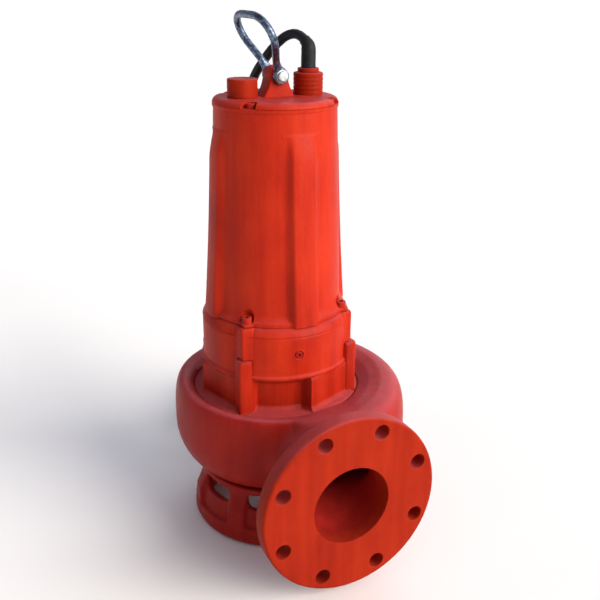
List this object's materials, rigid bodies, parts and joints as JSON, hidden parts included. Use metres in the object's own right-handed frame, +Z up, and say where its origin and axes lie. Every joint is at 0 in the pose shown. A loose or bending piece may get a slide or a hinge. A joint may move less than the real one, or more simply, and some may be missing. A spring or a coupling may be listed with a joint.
{
  "type": "submersible sewage pump",
  "caption": "Upright submersible sewage pump: ribbed cast motor housing on a spiral casing with a flanged side outlet, a ring foot, a lifting bail and a loose power cable.",
  "frame": {"origin": "on the floor under the middle of the pump's own box, without its cable", "axes": "+Z up along the shaft, the outlet points to -Y, the scroll is widest on +X"},
  "size_m": [0.3629, 0.5906, 0.6588],
  "materials": {
    "red_paint": "glossy orange-red enamel on cast iron",
    "dark_cast_iron": "bare grey cast iron, dark with water and oil",
    "zinc_steel": "zinc plated steel",
    "stainless": "turned stainless steel",
    "black_rubber": "black rubber cable sheath",
    "bronze": "turned bronze"
  },
  "bodies": {
    "pump": {"volute_casing": "red_paint", "suction_stand": "red_paint", "adapter_cover": "red_paint", "oil_chamber": "red_paint", "oil_plug": "red_paint", "motor_housing": "red_paint", "top_cover": "red_paint", "cover_screw_1": "red_paint", "cover_screw_2": "red_paint", "cover_screw_3": "red_paint", "cover_screw_4": "red_paint", "base_screw_1": "red_paint", "base_screw_2": "red_paint", "base_screw_3": "red_paint", "base_screw_4": "red_paint", "blind_cap": "red_paint", "cable_gland": "red_paint", "gland_collar": "red_paint", "lifting_lug": "red_paint", "bail_bolt": "zinc_steel", "bail_nut": "zinc_steel", "stand_bolt_1": "stainless", "stand_bolt_2": "stainless", "stand_bolt_3": "stainless", "stand_bolt_4": "stainless", "wear_ring": "bronze", "impeller": "dark_cast_iron", "impeller_nut": "stainless", "pump_shaft": "stainless", "cable_sleeve": "black_rubber", "power_cable": "black_rubber", "cable_coil": "black_rubber", "coil_tie_1": "black_rubber", "coil_tie_2": "black_rubber", "coil_tie_3": "black_rubber", "cable_end": "black_rubber"},
    "bail": {"bail": "zinc_steel"}
  },
  "joints": [
    {"name": "bail_hinge", "type": "hinge", "parent": "pump", "child": "bail", "pos_m": [-0.0151, 0.0319, 0.586], "axis": [0, 1, 0], "range_deg": [-50, 27]}
  ]
}
